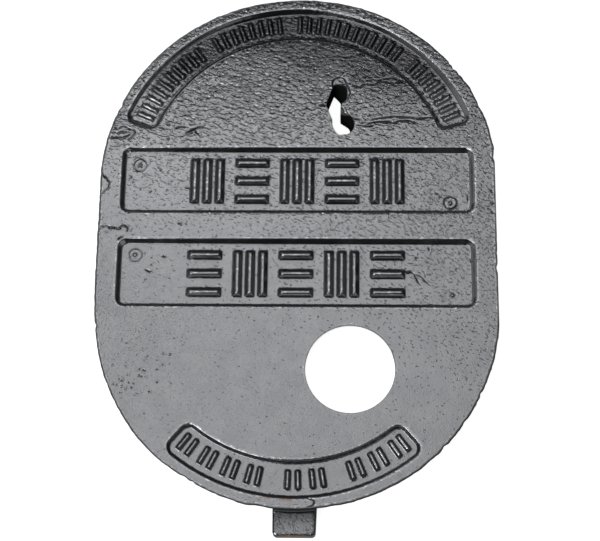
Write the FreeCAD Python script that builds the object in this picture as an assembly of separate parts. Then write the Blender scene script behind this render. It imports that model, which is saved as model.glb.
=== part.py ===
import FreeCAD, Part
import math
import os

from FreeCAD import Vector

# All sizes are millimetres and all angles are degrees.
# The plate is drawn about the middle of its oval, with its seat at z = 0, and is moved once at the end.

# Oval plate
half_width = 114.3
end_spacing = 78.0
cover_depth = 16.0
side_draft = 2.6
edge_bevel = 0.8

# Hollow underside
rim_width = 12.0
web_thickness = 8.0
hollow_draft = 2.0

# Ribs under the web
rib_tip = 5.0
rib_root = 7.0
rib_clearance = 2.0
long_rib_x = -38.0
hole_rib_gap = 2.0

# Two straight recessed panels
recess_depth = 2.5
wall_run = 2.7
corner_radius = 5.8
panel_side_margin = 12.1
panel_height = 40.2
panel_gap = 16.0
panels_y = 9.3

# Arched recessed panels, struck from the centres of the round ends
arch_border = 6.3
arch_width = 20.5
top_arch_half_angle = 71.0
bottom_arch_half_angle = 41.6

# Raised tread bars in the straight panels
bar_length = 27.6
bar_stroke = 5.4
bar_ridge = 1.5
tread_groups = 5
bars_in_group = 3
group_pitch = 26.0
group_width = 19.8
tread_drop = 0.5

# Raised tread bars in the arched panels
small_bar_length = 11.0
small_bar_stroke = 3.3
small_bar_ridge = 1.0
small_bar_height = 2.0
pair_angle = 3.3
top_runs = (4, 6, 4, 5)
top_pair_pitch = 6.6
top_run_gap = 10.4
bottom_runs = (4, 2, 3)
bottom_pair_pitch = 7.9
bottom_run_gap = 12.6

# Round reader hole
reader_x = 31.0
reader_y = -75.0
reader_radius = 25.0
reader_land = 2.0
reader_flare = 2.0

# Keyhole, with its points given from its own middle, x then y
key_x = 24.7
key_y = 83.5
key_ledge_depth = 1.2
key_ledge_radius = 4.1
key_ledge_high = (-0.7, 14.5)
key_ledge_low = (1.7, 8.8)
key_wedge_reach = 5.0
key_wedge_slope = 38.0

# Pad round the keyhole on the underside
pad_wall = 8.8
pad_corner = 12.0
pad_draft = 1.0

# Tongue at the foot of the plate
tongue_root_x = 1.1
tongue_tip_x = 0.8
tongue_root_width = 24.4
tongue_tip_width = 23.4
tongue_reach = 13.0
tongue_thickness = 8.0
tongue_corner = 2.4
tongue_bevel = 0.6
tongue_bury = 6.0
tongue_root_fillet = 2.4

# How far a cutting body runs past the face that it cuts
overrun = 1.0

# Levels and places that follow
top_z = cover_depth
web_z = cover_depth - web_thickness
floor_z = top_z - recess_depth
end_y = end_spacing / 2
plate_half_length = end_y + half_width
wall_slope = wall_run / recess_depth
hollow_slope = hollow_draft / web_z
panel_width = 2 * (half_width - panel_side_margin)
upper_panel_y = panels_y + (panel_gap + panel_height) / 2
lower_panel_y = panels_y - (panel_gap + panel_height) / 2
arch_outer_radius = half_width - arch_border
arch_inner_radius = arch_outer_radius - arch_width
hole_rib_y = reader_y + reader_radius + reader_flare + hole_rib_gap + rib_root / 2


def line(start, end):
    return Part.LineSegment(start, end).toShape()


def arc(start, middle, end):
    return Part.Arc(start, middle, end).toShape()


def heading(radius, angle):
    a = math.radians(angle)
    return Vector(radius * math.cos(a), radius * math.sin(a), 0)


def polar(centre_y, radius, angle, z):
    return Vector(0, centre_y, z) + heading(radius, angle)


def drafted(low_wire, high_wire):
    """Solid between two like outlines at different heights, with straight sloping sides."""
    return Part.makeLoft([low_wire, high_wire], True, True)


def oval_wire(inset, z):
    """Two half rounds joined by straight sides, moved in from the plate's edge by inset."""
    r = half_width - inset
    right_low = Vector(r, -end_y, z)
    right_high = Vector(r, end_y, z)
    left_high = Vector(-r, end_y, z)
    left_low = Vector(-r, -end_y, z)
    return Part.Wire([
        line(right_low, right_high),
        arc(right_high, Vector(0, end_y + r, z), left_high),
        line(left_high, left_low),
        arc(left_low, Vector(0, -end_y - r, z), right_low),
    ])


def rectangle_wire(centre, width, height, corner, inset, z):
    """Rectangle with round corners, moved in by inset with its corner centres kept."""
    x = width / 2 - corner
    y = height / 2 - corner
    r = corner - inset
    corners = []
    for corner_x, corner_y, start_angle in ((x, y, 0), (-x, y, 90), (-x, -y, 180), (x, -y, 270)):
        middle = Vector(centre[0] + corner_x, centre[1] + corner_y, z)
        corners.append([middle + heading(r, start_angle + turn) for turn in (0, 45, 90)])
    edges = []
    for corner_points, next_points in zip(corners, corners[1:] + corners[:1]):
        edges.append(arc(*corner_points))
        edges.append(line(corner_points[2], next_points[0]))
    return Part.Wire(edges)


def arch_wire(centre_y, middle_angle, half_angle, inset, z):
    """Sector of a ring with round corners, moved in by inset with its corner centres kept."""
    r = corner_radius - inset
    outer_centre = arch_outer_radius - corner_radius
    inner_centre = arch_inner_radius + corner_radius
    outer_turn = half_angle - math.degrees(math.asin(corner_radius / outer_centre))
    inner_turn = half_angle - math.degrees(math.asin(corner_radius / inner_centre))

    def corner(centre_radius, turn, side, start, end):
        """Arc about a corner centre, from start to end, both angles from that corner's own radius."""
        middle = polar(centre_y, centre_radius, middle_angle + side * turn, z)
        points = []
        for angle in (start, (start + end) / 2, end):
            points.append(middle + heading(r, middle_angle + side * (turn + angle)))
        return points

    outer_end = 90 + half_angle - outer_turn
    inner_end = 90 + half_angle - inner_turn
    outer_left = corner(outer_centre, outer_turn, 1, 0, outer_end)
    inner_left = corner(inner_centre, inner_turn, 1, inner_end, 180)
    inner_right = corner(inner_centre, inner_turn, -1, 180, inner_end)
    outer_right = corner(outer_centre, outer_turn, -1, outer_end, 0)
    outer_top = polar(centre_y, arch_outer_radius - inset, middle_angle, z)
    inner_top = polar(centre_y, arch_inner_radius + inset, middle_angle, z)
    return Part.Wire([
        arc(*outer_left),
        line(outer_left[2], inner_left[0]),
        arc(*inner_left),
        arc(inner_left[2], inner_top, inner_right[0]),
        arc(*inner_right),
        line(inner_right[2], outer_right[0]),
        arc(*outer_right),
        arc(outer_right[2], outer_top, outer_left[0]),
    ])


def recess_cutter(outline):
    """Body that sinks one panel, its walls drafted up past the top face."""
    return drafted(outline(wall_run, floor_z), outline(-overrun * wall_slope, top_z + overrun))


def panel_outline(centre_y):
    def outline(inset, z):
        return rectangle_wire((0, centre_y), panel_width, panel_height, corner_radius, inset, z)
    return outline


def arch_outline(centre_y, middle_angle, half_angle):
    def outline(inset, z):
        return arch_wire(centre_y, middle_angle, half_angle, inset, z)
    return outline


def tread_bar(length, stroke, ridge, height):
    """Bar along x on the panel floor, sloping on all sides to a narrow flat ridge."""
    slope = (stroke - ridge) / 2
    x = length / 2
    y = stroke / 2
    bar = Part.makeWedge(-x, 0, -y, slope - y, slope - x, x, height, y, y - slope, x - slope)
    bar.rotate(Vector(0, 0, 0), Vector(1, 0, 0), 90)
    bar.translate(Vector(0, 0, floor_z))
    return bar


def placed(shape, x, y, turn):
    copy = shape.copy()
    copy.rotate(Vector(0, 0, 0), Vector(0, 0, 1), turn)
    copy.translate(Vector(x, y, 0))
    return copy


def panel_tread(panel_y, first_upright):
    """Row of bar groups, by turns upright and lying, so that a foot grips either way."""
    upright = tread_bar(bar_length, bar_stroke, bar_ridge, recess_depth)
    lying = tread_bar(group_width, bar_stroke, bar_ridge, recess_depth)
    bars = []
    for group in range(tread_groups):
        x = (group - (tread_groups - 1) / 2) * group_pitch
        y = panel_y - tread_drop
        stands = (group % 2 == 0) == first_upright
        spread = (group_width if stands else bar_length) - bar_stroke
        for index in range(bars_in_group):
            step = (index / (bars_in_group - 1) - 0.5) * spread
            if stands:
                bars.append(placed(upright, x + step, y, 90))
            else:
                bars.append(placed(lying, x, y + step, 0))
    return bars


def run_angles(runs, pitch, gap):
    """Angles of evenly pitched marks in several runs, centred on nought."""
    angles = []
    angle = 0.0
    for run in runs:
        for index in range(run):
            angles.append(angle)
            angle += pitch
        angle += gap - pitch
    middle = angles[-1] / 2
    return [value - middle for value in angles]


def arch_tread(centre_y, middle_angle, runs, pitch, gap):
    """Pairs of short radial bars along an arched panel."""
    bar = tread_bar(small_bar_length, small_bar_stroke, small_bar_ridge, small_bar_height)
    radius = (arch_inner_radius + arch_outer_radius) / 2
    bars = []
    for angle in run_angles(runs, pitch, gap):
        for side in (-1, 1):
            turn = middle_angle + angle + side * pair_angle / 2
            foot = polar(centre_y, radius, turn, 0)
            bars.append(placed(bar, foot.x, foot.y, turn))
    return bars


def plate_blank():
    """Solid oval with sides that draw in to the seat and a narrow bevel at the top edge."""
    blank = drafted(oval_wire(side_draft, 0), oval_wire(0, top_z))
    top_edges = [edge for edge in blank.Edges if edge.BoundBox.ZMin > web_z]
    return blank.makeChamfer(edge_bevel, top_edges)


def rib_profile(length):
    """Rib along x, hanging from the web and narrowing downwards."""
    tip = rib_tip / 2
    root = rib_root / 2
    x = -length / 2
    outline = Part.makePolygon([
        Vector(x, -tip, rib_clearance),
        Vector(x, tip, rib_clearance),
        Vector(x, root, web_z),
        Vector(x, -root, web_z),
        Vector(x, -tip, rib_clearance),
    ])
    return Part.Face(outline).extrude(Vector(length, 0, 0))


def underside_ribs():
    full_length = 2 * plate_half_length
    cross = rib_profile(full_length)
    link_length = key_y - hole_rib_y
    link_middle = (key_y + hole_rib_y) / 2
    return [
        placed(cross, 0, panels_y, 0),
        placed(cross, 0, hole_rib_y, 0),
        placed(cross, long_rib_x, 0, 90),
        placed(rib_profile(link_length), key_x, link_middle, 90),
    ]


def key_pad():
    """Thick pad that carries the keyhole's full depth."""
    centre = (key_x, key_y)
    width = 2 * (pad_wall + max(abs(x) for x, y in key_top_points.values()))
    height = 2 * (pad_wall + max(abs(y) for x, y in key_top_points.values()))
    low = rectangle_wire(centre, width, height, pad_corner, pad_draft, 0)
    high = rectangle_wire(centre, width, height, pad_corner, 0, web_z)
    return drafted(low, high)


def underside_hollow():
    """Space inside the rim, less the ribs and the pad that stay standing in it."""
    foot = side_draft + rim_width
    low = oval_wire(foot - overrun * hollow_slope, -overrun)
    high = oval_wire(foot + hollow_draft, web_z)
    return drafted(low, high).cut(underside_ribs() + [key_pad()])


def reader_cutter():
    """Round hole with a short upright land at the top and a flare down through the web."""
    centre = Vector(reader_x, reader_y, 0)
    land_z = top_z - reader_land
    slope = reader_flare / (land_z - web_z)
    flare_low = web_z - overrun
    wide = reader_radius + (land_z - flare_low) * slope
    land = Part.makeCylinder(reader_radius, reader_land + overrun, centre + Vector(0, 0, land_z))
    flare = Part.makeCone(wide, reader_radius, land_z - flare_low, centre + Vector(0, 0, flare_low))
    return land.fuse(flare)


def key_outline(points, z):
    """Boot-shaped outline: slanted shank, narrow neck and round toe."""
    p = {name: Vector(key_x + x, key_y + y, z) for name, (x, y) in points.items()}
    return Part.Wire([
        line(p["heel"], p["shank_left"]),
        arc(p["shank_left"], p["crown"], p["shank_right"]),
        arc(p["shank_right"], p["shoulder"], p["shank_foot"]),
        line(p["shank_foot"], p["neck_high"]),
        line(p["neck_high"], p["neck_low"]),
        line(p["neck_low"], p["toe_start"]),
        arc(p["toe_start"], p["toe_tip"], p["toe_end"]),
        line(p["toe_end"], p["sole"]),
        arc(p["sole"], p["sole_left"], p["ankle"]),
        line(p["ankle"], p["heel"]),
    ])


# The keyhole's outline at the top face and at the seat, each point from the keyhole's middle
key_top_points = {
    "heel": (-8.3, 0.9),
    "shank_left": (-3.9, 13.9),
    "crown": (0.0, 14.6),
    "shank_right": (3.7, 13.4),
    "shoulder": (4.4, 9.2),
    "shank_foot": (3.2, 3.8),
    "neck_high": (0.2, 0.8),
    "neck_low": (0.1, -4.3),
    "toe_start": (5.4, -5.6),
    "toe_tip": (8.3, -11.8),
    "toe_end": (4.3, -17.8),
    "sole": (-0.6, -18.2),
    "sole_left": (-3.6, -14.6),
    "ankle": (-4.5, -8.8),
}
key_foot_points = dict(
    key_top_points,
    shank_left=(-3.8, 12.8),
    crown=(-1.8, 10.9),
    shank_right=(-0.2, 9.0),
    shoulder=(0.3, 7.4),
    shank_foot=(0.3, 5.4),
    neck_high=(0.0, 0.8),
    toe_start=(4.6, -7.4),
    toe_tip=(6.2, -11.8),
    toe_end=(3.4, -17.4),
)


def key_cutter():
    """Keyhole right through the pad, its shank and toe narrowing to the seat."""
    shaft = drafted(key_outline(key_foot_points, 0), key_outline(key_top_points, top_z))
    over = Part.Face(key_outline(key_top_points, top_z)).extrude(Vector(0, 0, overrun))
    under = Part.Face(key_outline(key_foot_points, 0)).extrude(Vector(0, 0, -overrun))
    return [shaft.fuse([over, under]), key_ledge(), key_wedge()]


def key_ledge():
    """Shallow step round the shank, a slot with round ends."""
    ledge_z = top_z - key_ledge_depth
    height = key_ledge_depth + overrun
    high = Vector(key_x + key_ledge_high[0], key_y + key_ledge_high[1], ledge_z)
    low = Vector(key_x + key_ledge_low[0], key_y + key_ledge_low[1], ledge_z)
    along = low - high
    turn = math.degrees(math.atan2(along.y, along.x))
    middle = Part.makeBox(along.Length, 2 * key_ledge_radius, height, Vector(0, -key_ledge_radius, 0))
    middle.rotate(Vector(0, 0, 0), Vector(0, 0, 1), turn)
    middle.translate(high)
    ends = [Part.makeCylinder(key_ledge_radius, height, centre) for centre in (high, low)]
    return middle.fuse(ends)


def key_wedge():
    """Slope worn down from the top face to the neck, between the shank and the toe."""
    start = key_top_points["neck_high"]
    end = key_top_points["toe_start"]
    turn = math.degrees(math.atan2(end[1] - start[1], end[0] - start[0]))
    length = math.dist(start, end)
    block = Part.makeBox(length, key_wedge_reach, key_wedge_reach, Vector(0, -key_wedge_reach, 0))
    block.rotate(Vector(0, 0, 0), Vector(1, 0, 0), key_wedge_slope)
    block.rotate(Vector(0, 0, 0), Vector(0, 0, 1), turn)
    block.translate(Vector(key_x + start[0], key_y + start[1], top_z))
    return block


def tongue():
    """Flat tongue that hooks under the frame's lip, level with the seat."""
    root_y = -plate_half_length + side_draft + tongue_bury
    tip_y = -plate_half_length - tongue_reach
    root = tongue_root_width / 2
    tip = tongue_tip_width / 2
    outline = Part.makePolygon([
        Vector(tongue_root_x - root, root_y, 0),
        Vector(tongue_root_x + root, root_y, 0),
        Vector(tongue_tip_x + tip, tip_y, 0),
        Vector(tongue_tip_x - tip, tip_y, 0),
        Vector(tongue_root_x - root, root_y, 0),
    ])
    body = Part.Face(outline).extrude(Vector(0, 0, tongue_thickness))
    middle_y = (root_y + tip_y) / 2
    middle_z = tongue_thickness / 2
    tip_edges = [edge for edge in body.Edges if edge.BoundBox.YMax < middle_y]
    corners = [edge for edge in tip_edges if edge.BoundBox.ZMin < middle_z < edge.BoundBox.ZMax]
    body = body.makeFillet(tongue_corner, corners)
    rims = [edge for edge in body.Edges if edge.BoundBox.ZMin > middle_z and edge.BoundBox.YMin < middle_y]
    return body.makeChamfer(tongue_bevel, rims)


def round_tongue_root(cover):
    """Fillet in the corner where the tongue's top meets the drafted side of the plate."""
    side_radius = half_width - side_draft * (1 - tongue_thickness / cover_depth)
    side_y = -end_y - math.sqrt(side_radius ** 2 - tongue_root_x ** 2)
    corner = Part.Vertex(tongue_root_x, side_y, tongue_thickness)
    root_edge = min(cover.Edges, key=lambda edge: edge.distToShape(corner)[0])
    return cover.makeFillet(tongue_root_fillet, [root_edge])


def meter_cover():
    panels = [
        panel_outline(upper_panel_y),
        panel_outline(lower_panel_y),
        arch_outline(end_y, 90, top_arch_half_angle),
        arch_outline(-end_y, -90, bottom_arch_half_angle),
    ]
    cutters = [recess_cutter(outline) for outline in panels]
    cutters += [underside_hollow(), reader_cutter()]
    cutters += key_cutter()
    treads = panel_tread(upper_panel_y, True)
    treads += panel_tread(lower_panel_y, False)
    treads += arch_tread(end_y, 90, top_runs, top_pair_pitch, top_run_gap)
    treads += arch_tread(-end_y, -90, bottom_runs, bottom_pair_pitch, bottom_run_gap)
    cover = plate_blank().cut(cutters)
    cover = cover.fuse(treads + [tongue()])
    cover = round_tongue_root(cover.removeSplitter())
    cover.translate(Vector(0, tongue_reach / 2, 0))
    return cover


os.makedirs("parts", exist_ok=True)
cover = meter_cover()
cover.exportStep("parts/meter_cover.step")
box = cover.BoundBox
print("solids", len(cover.Solids), "valid", cover.isValid(), "volume", round(cover.Volume))
print("x", box.XMin, box.XMax, "y", box.YMin, box.YMax, "z", box.ZMin, box.ZMax)
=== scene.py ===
import math
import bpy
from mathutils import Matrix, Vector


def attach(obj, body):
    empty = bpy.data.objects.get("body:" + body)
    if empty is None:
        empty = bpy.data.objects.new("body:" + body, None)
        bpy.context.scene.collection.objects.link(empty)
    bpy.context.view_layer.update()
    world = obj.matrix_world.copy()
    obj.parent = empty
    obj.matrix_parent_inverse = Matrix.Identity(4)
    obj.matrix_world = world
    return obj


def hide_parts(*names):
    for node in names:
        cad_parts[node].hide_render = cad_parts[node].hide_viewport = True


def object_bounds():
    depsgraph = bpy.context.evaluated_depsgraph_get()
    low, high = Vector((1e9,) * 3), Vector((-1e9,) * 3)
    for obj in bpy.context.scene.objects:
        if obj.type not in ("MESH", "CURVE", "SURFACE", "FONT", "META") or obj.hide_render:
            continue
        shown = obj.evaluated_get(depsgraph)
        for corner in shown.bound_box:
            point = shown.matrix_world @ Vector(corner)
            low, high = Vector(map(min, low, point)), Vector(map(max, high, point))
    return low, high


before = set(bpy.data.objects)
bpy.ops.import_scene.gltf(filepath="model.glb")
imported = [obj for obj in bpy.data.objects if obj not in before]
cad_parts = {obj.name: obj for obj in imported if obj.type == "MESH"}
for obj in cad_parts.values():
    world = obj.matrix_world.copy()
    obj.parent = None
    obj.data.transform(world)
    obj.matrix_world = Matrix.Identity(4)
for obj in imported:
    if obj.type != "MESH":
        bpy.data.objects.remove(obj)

from types import SimpleNamespace

import bmesh
import bpy
import numpy as np
from mathutils import Matrix, Vector
from mathutils.geometry import delaunay_2d_cdt

cad_low, cad_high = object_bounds()

MM = 0.001

# Outline of the plate: round ends of one radius, struck from two centres on x = 0, in mm
END_RADIUS = 114.3
END_LOW, END_HIGH = -32.5, 45.5
MIDDLE_Y = 6.5

# Places on the plate, in mm: the middle radius of the arched panels, circles round the walls of
# the two holes, where the plate's own side begins, and the tongue's middle, half width and top end
ARCH_RADIUS = 97.75
KEYHOLE, KEYHOLE_REACH = (24.7, 83.5), 30.0
READER_HOLE, READER_REACH = (31.0, -75.0), 28.0
SIDE_REACH = 110.0
TONGUE_X, TONGUE_HALF, TONGUE_Y = 1.0, 13.5, -120

# How far the cast outline lies outside the true one, in mm, every 8 degrees round the middle
OUTLINE_SHIFT = (
    0.0, 0.3, 0.4, 0.42, 1.4, 1.2, 1.0, 0.85, 0.6, 0.6, 0.1, -0.1, -0.4, -0.2, -0.2, -0.15, -0.15,
    -0.17, -0.45, -0.1, 0.05, -0.15, -0.15, -0.15, -0.15, -0.75, -1.1, -0.7, -0.55, 0.0, 0.05,
    -0.45, -0.1, -0.2, 0.0, 0.4, 0.6, 0.8, 0.8, 0.6, 0.5, 0.7, 0.6, 0.3, 0.0,
)

# Finer unevenness of the outline: height and pitch in mm, and its seed
OUTLINE_SWELLS = ((0.16, 1.8, 21), (0.12, 5, 22))

# Nicks (depth above 0) and beads (below 0) along the outline: x, y, depth, half length, in mm
NICKS = (
    (114.3, -9.0, 0.7, 2.2), (114.3, -0.5, 0.5, 1.2), (114.3, 35.0, 0.5, 0.9),
    (113.6, 58.0, 0.6, 1.6), (105.4, 89.8, 0.6, 2.6), (94.1, 110.4, 0.6, 1.2),
    (91.2, 114.4, 1.0, 1.5), (89.0, 117.2, 0.7, 0.8), (-60.2, 142.6, 0.4, 0.6),
    (-105.1, 90.3, 0.7, 1.9), (-113.7, -44.4, 0.8, 1.5), (-105.0, -78.4, 0.4, 0.8),
    (-59.5, -130.1, 0.7, 2.0), (-54.8, -132.8, 0.6, 1.0), (-42.3, -138.6, 0.4, 0.9),
    (-19.5, -145.1, 0.8, 1.8), (21.7, -144.7, 0.6, 3.5), (82.3, -111.8, 0.9, 1.8),
    (93.4, -98.3, 0.7, 1.8), (103.0, -82.0, 0.7, 1.5), (112.6, 64.9, -0.5, 2.6),
    (99.4, 101.9, -0.5, 3.2), (37.3, 153.5, -0.4, 1.2), (-49.3, 148.6, -0.4, 1.5),
    (-26.4, -143.7, -0.7, 4.5), (-108.0, 82.9, -0.4, 0.8), (99.8, -88.2, -0.4, 0.8),
)

# Wandering grooves and cold shuts: depth, half width, raised lip on the left of the line, and
# points, in mm
GROOVES = (
    (0.35, 0.34, 0.15, ((-104.9, 76.4), (-102.0, 77.1), (-98.0, 75.7), (-95.7, 74.2), (-95.8, 72.1),
                        (-97.1, 70.4), (-99.7, 69.0))),
    (0.53, 0.34, 0.20, ((-110.9, 70.5), (-102.3, 70.4), (-99.8, 70.9), (-97.8, 72.3))),
    (0.47, 0.41, 0.06, ((-105.4, 72.8), (-103.2, 73.9), (-100.2, 73.8))),
    (0.35, 0.34, 0.06, ((-110.4, 73.2), (-107.1, 73.5), (-104.7, 72.5))),
    (0.35, 0.34, 0.06, ((-108.3, 77.4), (-106.8, 75.7), (-106.5, 75.0))),
    (0.30, 0.31, 0.06, ((-81.4, 76.4), (-78.5, 76.4))),
    (0.30, 0.31, 0.06, ((-71.9, 76.4), (-69.4, 77.1), (-65.4, 76.7))),
    (0.70, 0.61, 0.06, ((-64.9, 72.9), (-61.4, 74.9))),
    (0.65, 0.45, 0.06, ((-62.4, 74.3), (-59.8, 75.7), (-57.8, 76.6))),
    (0.41, 0.31, 0.06, ((-58.8, 76.1), (-55.4, 77.4))),
    (0.53, 0.34, 0.06, ((-60.5, 75.7), (-59.4, 73.3), (-57.5, 72.4))),
    (0.30, 0.28, 0.16, ((-114.8, 47.9), (-113.7, 47.4), (-111.1, 45.6), (-108.7, 41.8),
                        (-109.2, 38.4), (-112.2, 35.9), (-114.1, 35.1))),
    (0.34, 0.28, 0.12, ((-114.1, 14.7), (-108.6, 15.2), (-103.7, 14.7), (-103.0, 13.3),
                        (-100.8, 14.9), (-98.9, 16.2), (-97.0, 14.2), (-97.2, 12.2))),
    (0.65, 0.45, 0.06, ((-102.4, 6.8), (-100.2, 8.3), (-99.0, 8.6))),
    (0.23, 0.31, 0.06, ((-95.8, 56.8), (-93.3, 58.8), (-89.3, 56.4))),
    (0.53, 0.34, 0.25, ((32.7, 103.5), (36.7, 102.4), (38.6, 104.2), (45.5, 103.8), (47.4, 105.6),
                        (51.4, 105.6), (57.2, 104.6), (59.8, 106.7), (62.4, 106.3))),
    (0.41, 0.31, 0.15, ((46.1, 106.3), (50.0, 107.4), (54.0, 107.8), (58.6, 108.1))),
    (0.41, 0.33, 0.20, ((42.8, 81.5), (48.6, 82.5), (55.1, 83.6), (63.6, 83.2), (71.3, 82.5),
                        (80.4, 82.9))),
    (0.53, 0.34, 0.25, ((40.2, 78.6), (46.1, 80.0), (53.2, 80.4), (56.4, 79.7), (60.3, 81.0),
                        (66.1, 80.7), (69.4, 79.7))),
    (0.35, 0.31, 0.15, ((34.4, 78.3), (38.6, 77.5), (44.1, 78.3))),
    (0.30, 0.31, 0.06, ((27.2, 90.2), (28.5, 86.0), (31.1, 83.2), (36.3, 81.8))),
    (0.41, 0.31, 0.06, ((75.5, 3.7), (75.7, 1.1))),
    (0.36, 0.28, 0.10, ((60.2, -9.9), (61.2, -11.9), (63.1, -10.9), (65.3, -10.5), (67.1, -12.5),
                        (68.4, -15.5), (69.2, -17.4), (70.8, -19.1))),
    (0.30, 0.28, 0.06, ((67.1, -12.5), (70.2, -13.5), (72.7, -15.5), (75.2, -18.7))),
    (0.30, 0.31, 0.06, ((98.2, 36.2), (98.4, 31.0))),
    (0.53, 0.37, 0.06, ((111.2, 25.3), (112.4, 23.3))),
    (0.41, 0.33, 0.18, ((7.8, -140.0), (9.3, -141.0), (11.3, -141.0), (12.0, -142.9),
                        (10.9, -144.6), (8.4, -145.4))),
    (0.47, 0.34, 0.15, ((-86.0, -10.1), (-84.1, -10.9), (-81.9, -11.0))),
    (0.41, 0.34, 0.06, ((-76.1, -1.1), (-74.3, -2.9))),
    (0.41, 0.33, 0.18, ((11.7, 90.6), (17.5, 91.3))),
)

# Small pits: x, y, radius, depth, in mm
PITS = (
    (-75.6, 69.7, 0.7, 0.25), (-57.0, 68.2, 0.6, 0.22), (-96.6, 46.3, 0.7, 0.25),
    (-95.5, 43.4, 0.6, 0.19), (-90.8, 39.3, 0.5, 0.19), (-84.9, 37.4, 0.5, 0.19),
    (-79.3, 50.9, 0.6, 0.22), (-69.3, 51.0, 0.6, 0.19), (-63.6, 39.9, 0.6, 0.25),
    (-62.2, 39.5, 0.7, 0.31), (-67.4, 17.2, 0.6, 0.25), (-66.2, 16.8, 0.7, 0.25),
    (-79.7, 66.8, 0.5, 0.19), (-94.0, 66.3, 0.5, 0.19), (-85.2, 66.2, 0.5, 0.19),
    (-53.4, 66.3, 0.5, 0.19), (-109.3, 11.5, 0.5, 0.19), (-94.4, 13.2, 0.5, 0.19),
    (68.2, -2.6, 0.9, 0.31), (79.8, 36.8, 0.6, 0.25), (82.2, 34.8, 0.7, 0.25),
    (91.0, -9.1, 0.7, 0.25), (55.3, 22.6, 0.7, 0.25), (85.5, 1.5, 0.6, 0.19),
    (99.2, -4.4, 0.6, 0.25), (111.5, 37.2, 0.9, 0.31), (112.0, 30.1, 0.8, 0.31),
    (-82.7, -7.3, 0.6, 0.25), (-59.9, -4.3, 0.6, 0.25), (-97.0, -52.0, 0.6, 0.19),
    (-94.3, -54.0, 0.5, 0.19), (-92.6, -56.9, 0.5, 0.19), (-101.5, -66.8, 0.6, 0.22),
    (-94.3, -67.1, 0.6, 0.19), (-86.1, -69.3, 0.8, 0.25), (-83.9, -69.6, 0.6, 0.31),
    (-83.1, -70.2, 0.6, 0.31), (-86.2, -72.7, 0.6, 0.31), (-85.0, -73.5, 0.6, 0.31),
    (-92.8, -72.7, 0.7, 0.22), (-95.9, -76.0, 0.6, 0.31), (-97.3, -75.1, 0.5, 0.25),
    (-92.0, -77.0, 0.5, 0.25), (-89.3, -77.5, 0.6, 0.25), (-90.3, -79.9, 0.7, 0.25),
    (-93.1, -80.3, 0.5, 0.25), (-95.6, -78.5, 0.6, 0.25), (-100.9, -78.2, 0.9, 0.19),
    (-98.7, -78.1, 0.6, 0.22), (-96.6, -82.9, 0.7, 0.22), (-80.2, -82.0, 0.7, 0.31),
    (-76.1, -76.9, 0.7, 0.31), (-76.5, -69.5, 0.6, 0.25), (-76.7, -64.0, 0.5, 0.19),
    (-73.3, -60.1, 0.6, 0.22), (-69.6, -60.4, 0.7, 0.25), (-73.6, -66.6, 0.5, 0.22),
    (-68.1, -77.3, 0.5, 0.19), (-82.2, -62.1, 0.5, 0.25), (-88.2, -61.2, 0.5, 0.19),
    (-82.5, -94.4, 0.6, 0.19), (-97.7, -72.9, 0.5, 0.19), (-86.7, -83.2, 0.5, 0.19),
)

# Round marks left by the pattern's fixing screws: x, y, groove depth, height of the pip in the
# middle, in mm, and the circles of vertices that carry them: number and radius
RINGS = (
    (-91.6, 53.8, 0.20, 0.0), (88.3, 30.8, 0.40, 0.30), (-92.0, -1.3, 0.20, 0.35),
    (88.6, -24.8, 0.12, 0.40),
)
RING_RADIUS = 3.7
RING_CIRCLES = (
    (1, 0), (6, 0.45), (8, 0.95), (36, RING_RADIUS - 0.45), (36, RING_RADIUS),
    (36, RING_RADIUS + 0.45), (30, RING_RADIUS - 1.0), (30, RING_RADIUS + 1.0),
)

# Rust streaks: x, y, half length, half width, in mm
RUST = (
    (-12.7, -140.4, 2.8, 1.0), (-3.4, -141.4, 5.6, 1.2), (1.0, -159.4, 11.0, 0.9),
    (-18.0, -141.5, 1.2, 0.9),
)

# Flat scabs standing a little proud: x, y, half length, half width, height, in mm
SCABS = (
    (-107.5, 9.5, 8.5, 4.6, 0.12), (-112.8, 41.5, 3.6, 4.8, 0.12), (0.5, -143.0, 11.0, 1.9, 0.10),
)

# Worn side, in mm: its face, the floor of its recesses, and a level just below them
FACE_Z, RECESS_Z, RELIEF_BOTTOM = 16.0, 13.5, 12.5

# Upward part of a face's normal: above LEVEL it lies flat, down to DRAFTED it is a recess wall,
# and below STEEP it is a wall that the height map doesn't carry
LEVEL, DRAFTED, STEEP = 0.9, 0.65, 0.4

# Spacing of the mesh, in metres: pieces of the edges, points inside the faces, rows of points
# beside the edges, how near a new point may lie to the others, and cells to look them up in
RELIEF_EDGE, WALL_EDGE, BASE_EDGE = 1.1 * MM, 2.2 * MM, 4.5 * MM
RELIEF_PITCH, WALL_PITCH, UNDERSIDE_PITCH = 1.8 * MM, 2.2 * MM, 5.0 * MM
EDGE_ROWS = (0.28 * MM, 0.65 * MM)
WALL_ROWS = (0.28 * MM, 0.65 * MM, 1.2 * MM, 1.84 * MM)
ROW_GAP, MARK_GAP, PITCH_GAP = 0.2 * MM, 0.25 * MM, 0.62 * MM
CELL = 0.7 * MM

# A flat region smaller than this, in square metres, gets no points inside
SMALL_AREA = 4e-6

# Height map of the worn side, in mm: its cells, and the blurs that round the edges, that the
# worn edges stand out from, and that show how near an opening or the outline is
GRID = 0.2
GRID_X, GRID_Y = -116.0, -149.0
GRID_COLUMNS, GRID_ROWS = 1161, 1556
EDGE_BLUR, WEAR_BLUR, OPEN_BLUR = 0.28, 1.1, 0.9

# Unevenness of the skin: how far in mm it lies below the true face, its heights and pitches in
# mm with their seeds, and how far and at what pitch the marks wander
SKIN_DROP = 0.14
SWELLS = ((0.05, 9, 1), (0.03, 4, 2))
WANDER, WANDER_PITCH = 0.22, 1.3

# The recess walls below the first y and above the second, in mm, are those of the arched
# panels, or near them, and are cut steeper by rules of their own
LOWER_ARCH_Y, UPPER_ARCH_Y = -90, 60

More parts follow.
